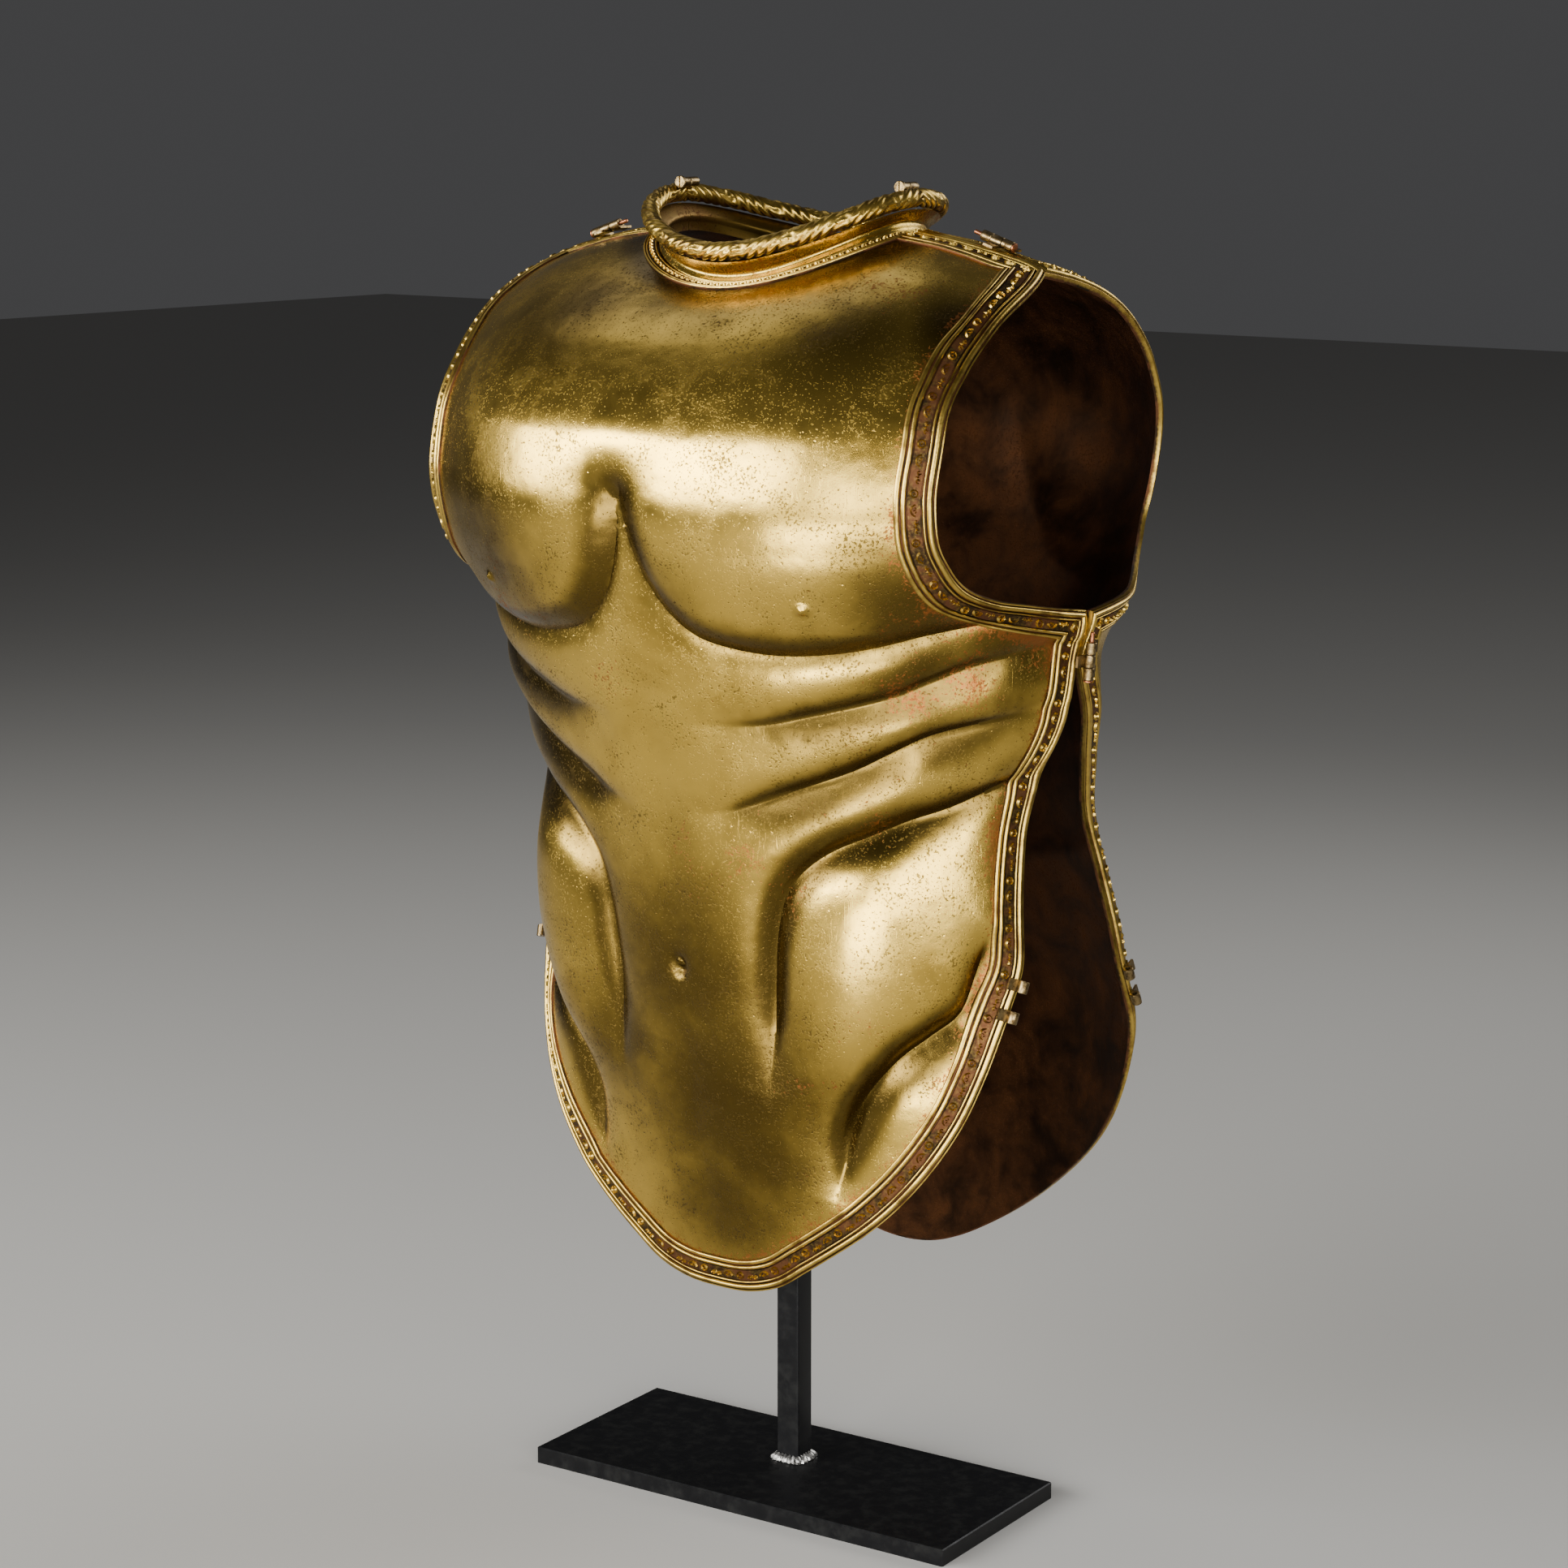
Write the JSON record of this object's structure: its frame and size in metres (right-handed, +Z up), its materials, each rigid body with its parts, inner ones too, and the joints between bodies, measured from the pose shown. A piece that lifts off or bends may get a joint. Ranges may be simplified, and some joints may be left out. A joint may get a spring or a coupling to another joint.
{
  "type": "bronze muscle cuirass on a post stand",
  "caption": "Sleeveless anatomical body armour of beaten bronze, a front and a back shell hinged at the shoulders and sides, with a rope-edged collar, carried on a plain steel post stand.",
  "frame": {"origin": "on the face that the stand's base plate rests on, under the middle of the post", "axes": "+Z up, -Y the way the chest faces, +X towards the wearer's left side"},
  "size_m": [0.3785, 0.2886, 0.7059],
  "materials": {
    "bronze": "old beaten bronze, polished and toned, with copper-red and brown patches",
    "cast_bronze": "bronze mouldings with bright worn ridges and dark toned grooves",
    "copper": "dull reddish bronze pins",
    "black_steel": "satin black coating on steel",
    "weld": "bare rough weld under a clear coat"
  },
  "bodies": {
    "root": {"back_armhole_strip_left": "cast_bronze", "back_armhole_strip_right": "cast_bronze", "back_hem_strip": "cast_bronze", "back_shoulder_strip_left": "cast_bronze", "back_shoulder_strip_right": "cast_bronze", "backplate": "bronze", "base_plate": "black_steel", "breast_armhole_strip_left": "cast_bronze", "breast_armhole_strip_right": "cast_bronze", "breast_hem_strip": "cast_bronze", "breast_shoulder_strip_left": "cast_bronze", "breast_shoulder_strip_right": "cast_bronze", "breastplate": "bronze", "collar_back": "bronze", "collar_clasp_left": "bronze", "collar_clasp_right": "bronze", "collar_front": "bronze", "hip_knuckle_back_lower_left": "bronze", "hip_knuckle_back_lower_right": "bronze", "hip_knuckle_back_upper_left": "bronze", "hip_knuckle_back_upper_right": "bronze", "hip_knuckle_front_lower_left": "bronze", "hip_knuckle_front_lower_right": "bronze", "hip_knuckle_front_upper_left": "bronze", "hip_knuckle_front_upper_right": "bronze", "neck_moulding_back": "cast_bronze", "neck_moulding_front": "cast_bronze", "post": "black_steel", "rope_rim_back": "cast_bronze", "rope_rim_front": "cast_bronze", "shoulder_hinge_back_lower_left": "bronze", "shoulder_hinge_back_lower_right": "bronze", "shoulder_hinge_back_upper_left": "bronze", "shoulder_hinge_back_upper_right": "bronze", "shoulder_hinge_front_left": "bronze", "shoulder_hinge_front_right": "bronze", "shoulder_hinge_pin_left": "copper", "shoulder_hinge_pin_right": "copper", "side_hinge_back_lower_left": "bronze", "side_hinge_back_lower_right": "bronze", "side_hinge_back_upper_left": "bronze", "side_hinge_back_upper_right": "bronze", "side_hinge_front_left": "bronze", "side_hinge_front_right": "bronze", "side_hinge_pin_left": "copper", "side_hinge_pin_right": "copper", "support_bar": "black_steel", "weld_bead": "weld"}
  },
  "joints": []
}
